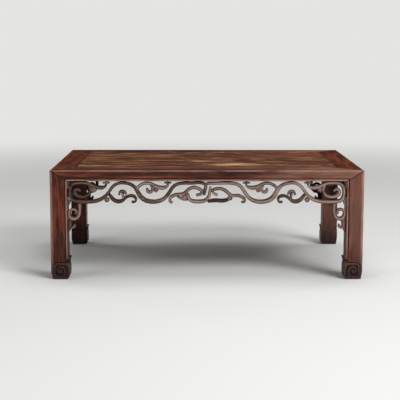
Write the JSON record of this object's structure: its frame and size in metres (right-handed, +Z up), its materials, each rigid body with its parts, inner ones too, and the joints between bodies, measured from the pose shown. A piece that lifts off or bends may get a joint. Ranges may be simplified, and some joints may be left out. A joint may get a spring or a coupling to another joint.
{
  "type": "low table",
  "caption": "Low hardwood table with a mitred frame-and-panel top, openwork scroll aprons with drops down the legs, and inward-turned scroll feet.",
  "frame": {"origin": "on the floor under the middle of the table", "axes": "+X along the table's length to the right, +Y from the front to the back, +Z up"},
  "size_m": [0.9, 0.6, 0.317],
  "materials": {
    "leg_wood": "worn waxed hardwood, reddish brown",
    "frame_wood": "worn waxed hardwood, reddish brown",
    "panel_wood": "worn waxed hardwood with golden streaks",
    "carved_wood": "carved hardwood, rubbed pale on its ridges",
    "hidden_wood": "plain unpolished hardwood"
  },
  "bodies": {
    "root": {"leg_front_left": "leg_wood", "leg_front_right": "leg_wood", "leg_back_left": "leg_wood", "leg_back_right": "leg_wood", "frame_front": "frame_wood", "frame_back": "frame_wood", "frame_left": "frame_wood", "frame_right": "frame_wood", "board_front": "panel_wood", "board_back": "panel_wood", "batten_left": "hidden_wood", "batten_middle": "hidden_wood", "batten_right": "hidden_wood", "apron_front": "carved_wood", "apron_back": "carved_wood", "apron_left": "carved_wood", "apron_right": "carved_wood", "drop_front_left": "carved_wood", "drop_left_front": "carved_wood", "drop_front_right": "carved_wood", "drop_right_front": "carved_wood", "drop_back_left": "carved_wood", "drop_left_back": "carved_wood", "drop_back_right": "carved_wood", "drop_right_back": "carved_wood", "apron_tenons": "hidden_wood", "drop_leg_tenons": "hidden_wood", "drop_apron_tenons": "hidden_wood"}
  },
  "joints": []
}
